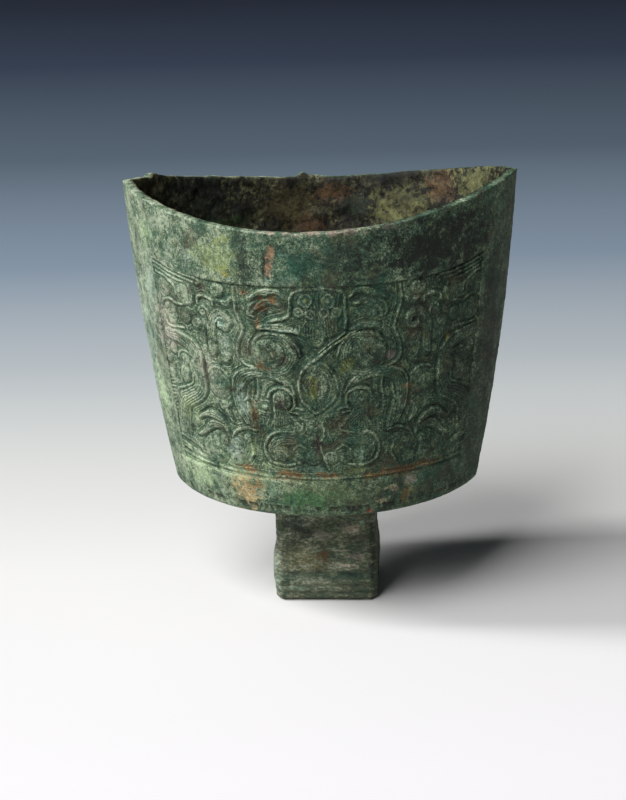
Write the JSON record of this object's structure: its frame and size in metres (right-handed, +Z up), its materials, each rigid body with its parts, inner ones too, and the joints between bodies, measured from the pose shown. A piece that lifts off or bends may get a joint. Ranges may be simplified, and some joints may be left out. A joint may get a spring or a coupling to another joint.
{
  "type": "bronze hand bell",
  "caption": "Mouth-up bronze hand bell, almond in section, with an arched lip, a mask in relief on both walls and a hollow square shank.",
  "frame": {"origin": "middle of the shank's open end, on which the bell stands, at the bottom centre of the bounding box", "axes": "+Z up from the shank to the mouth, -Y the front wall, +X to the viewer's right, along the line through the two side ridges"},
  "size_m": [0.1598, 0.1148, 0.1825],
  "materials": {
    "bronze": "cast bronze under matt green and brown patina",
    "shank_bronze": "cast bronze under brown and olive patina",
    "chaplet_bronze": "cast bronze spacer, a little browner than the wall round it"
  },
  "bodies": {
    "root": {"front_wall": "bronze", "back_wall": "bronze", "base_plate": "bronze", "shank": "shank_bronze", "front_chaplet_upper_left": "chaplet_bronze", "front_chaplet_upper_right": "chaplet_bronze", "front_chaplet_lower_left": "chaplet_bronze", "front_chaplet_lower_right": "chaplet_bronze", "back_chaplet_upper_left": "chaplet_bronze", "back_chaplet_upper_right": "chaplet_bronze", "back_chaplet_lower_left": "chaplet_bronze", "back_chaplet_lower_right": "chaplet_bronze"}
  },
  "joints": []
}
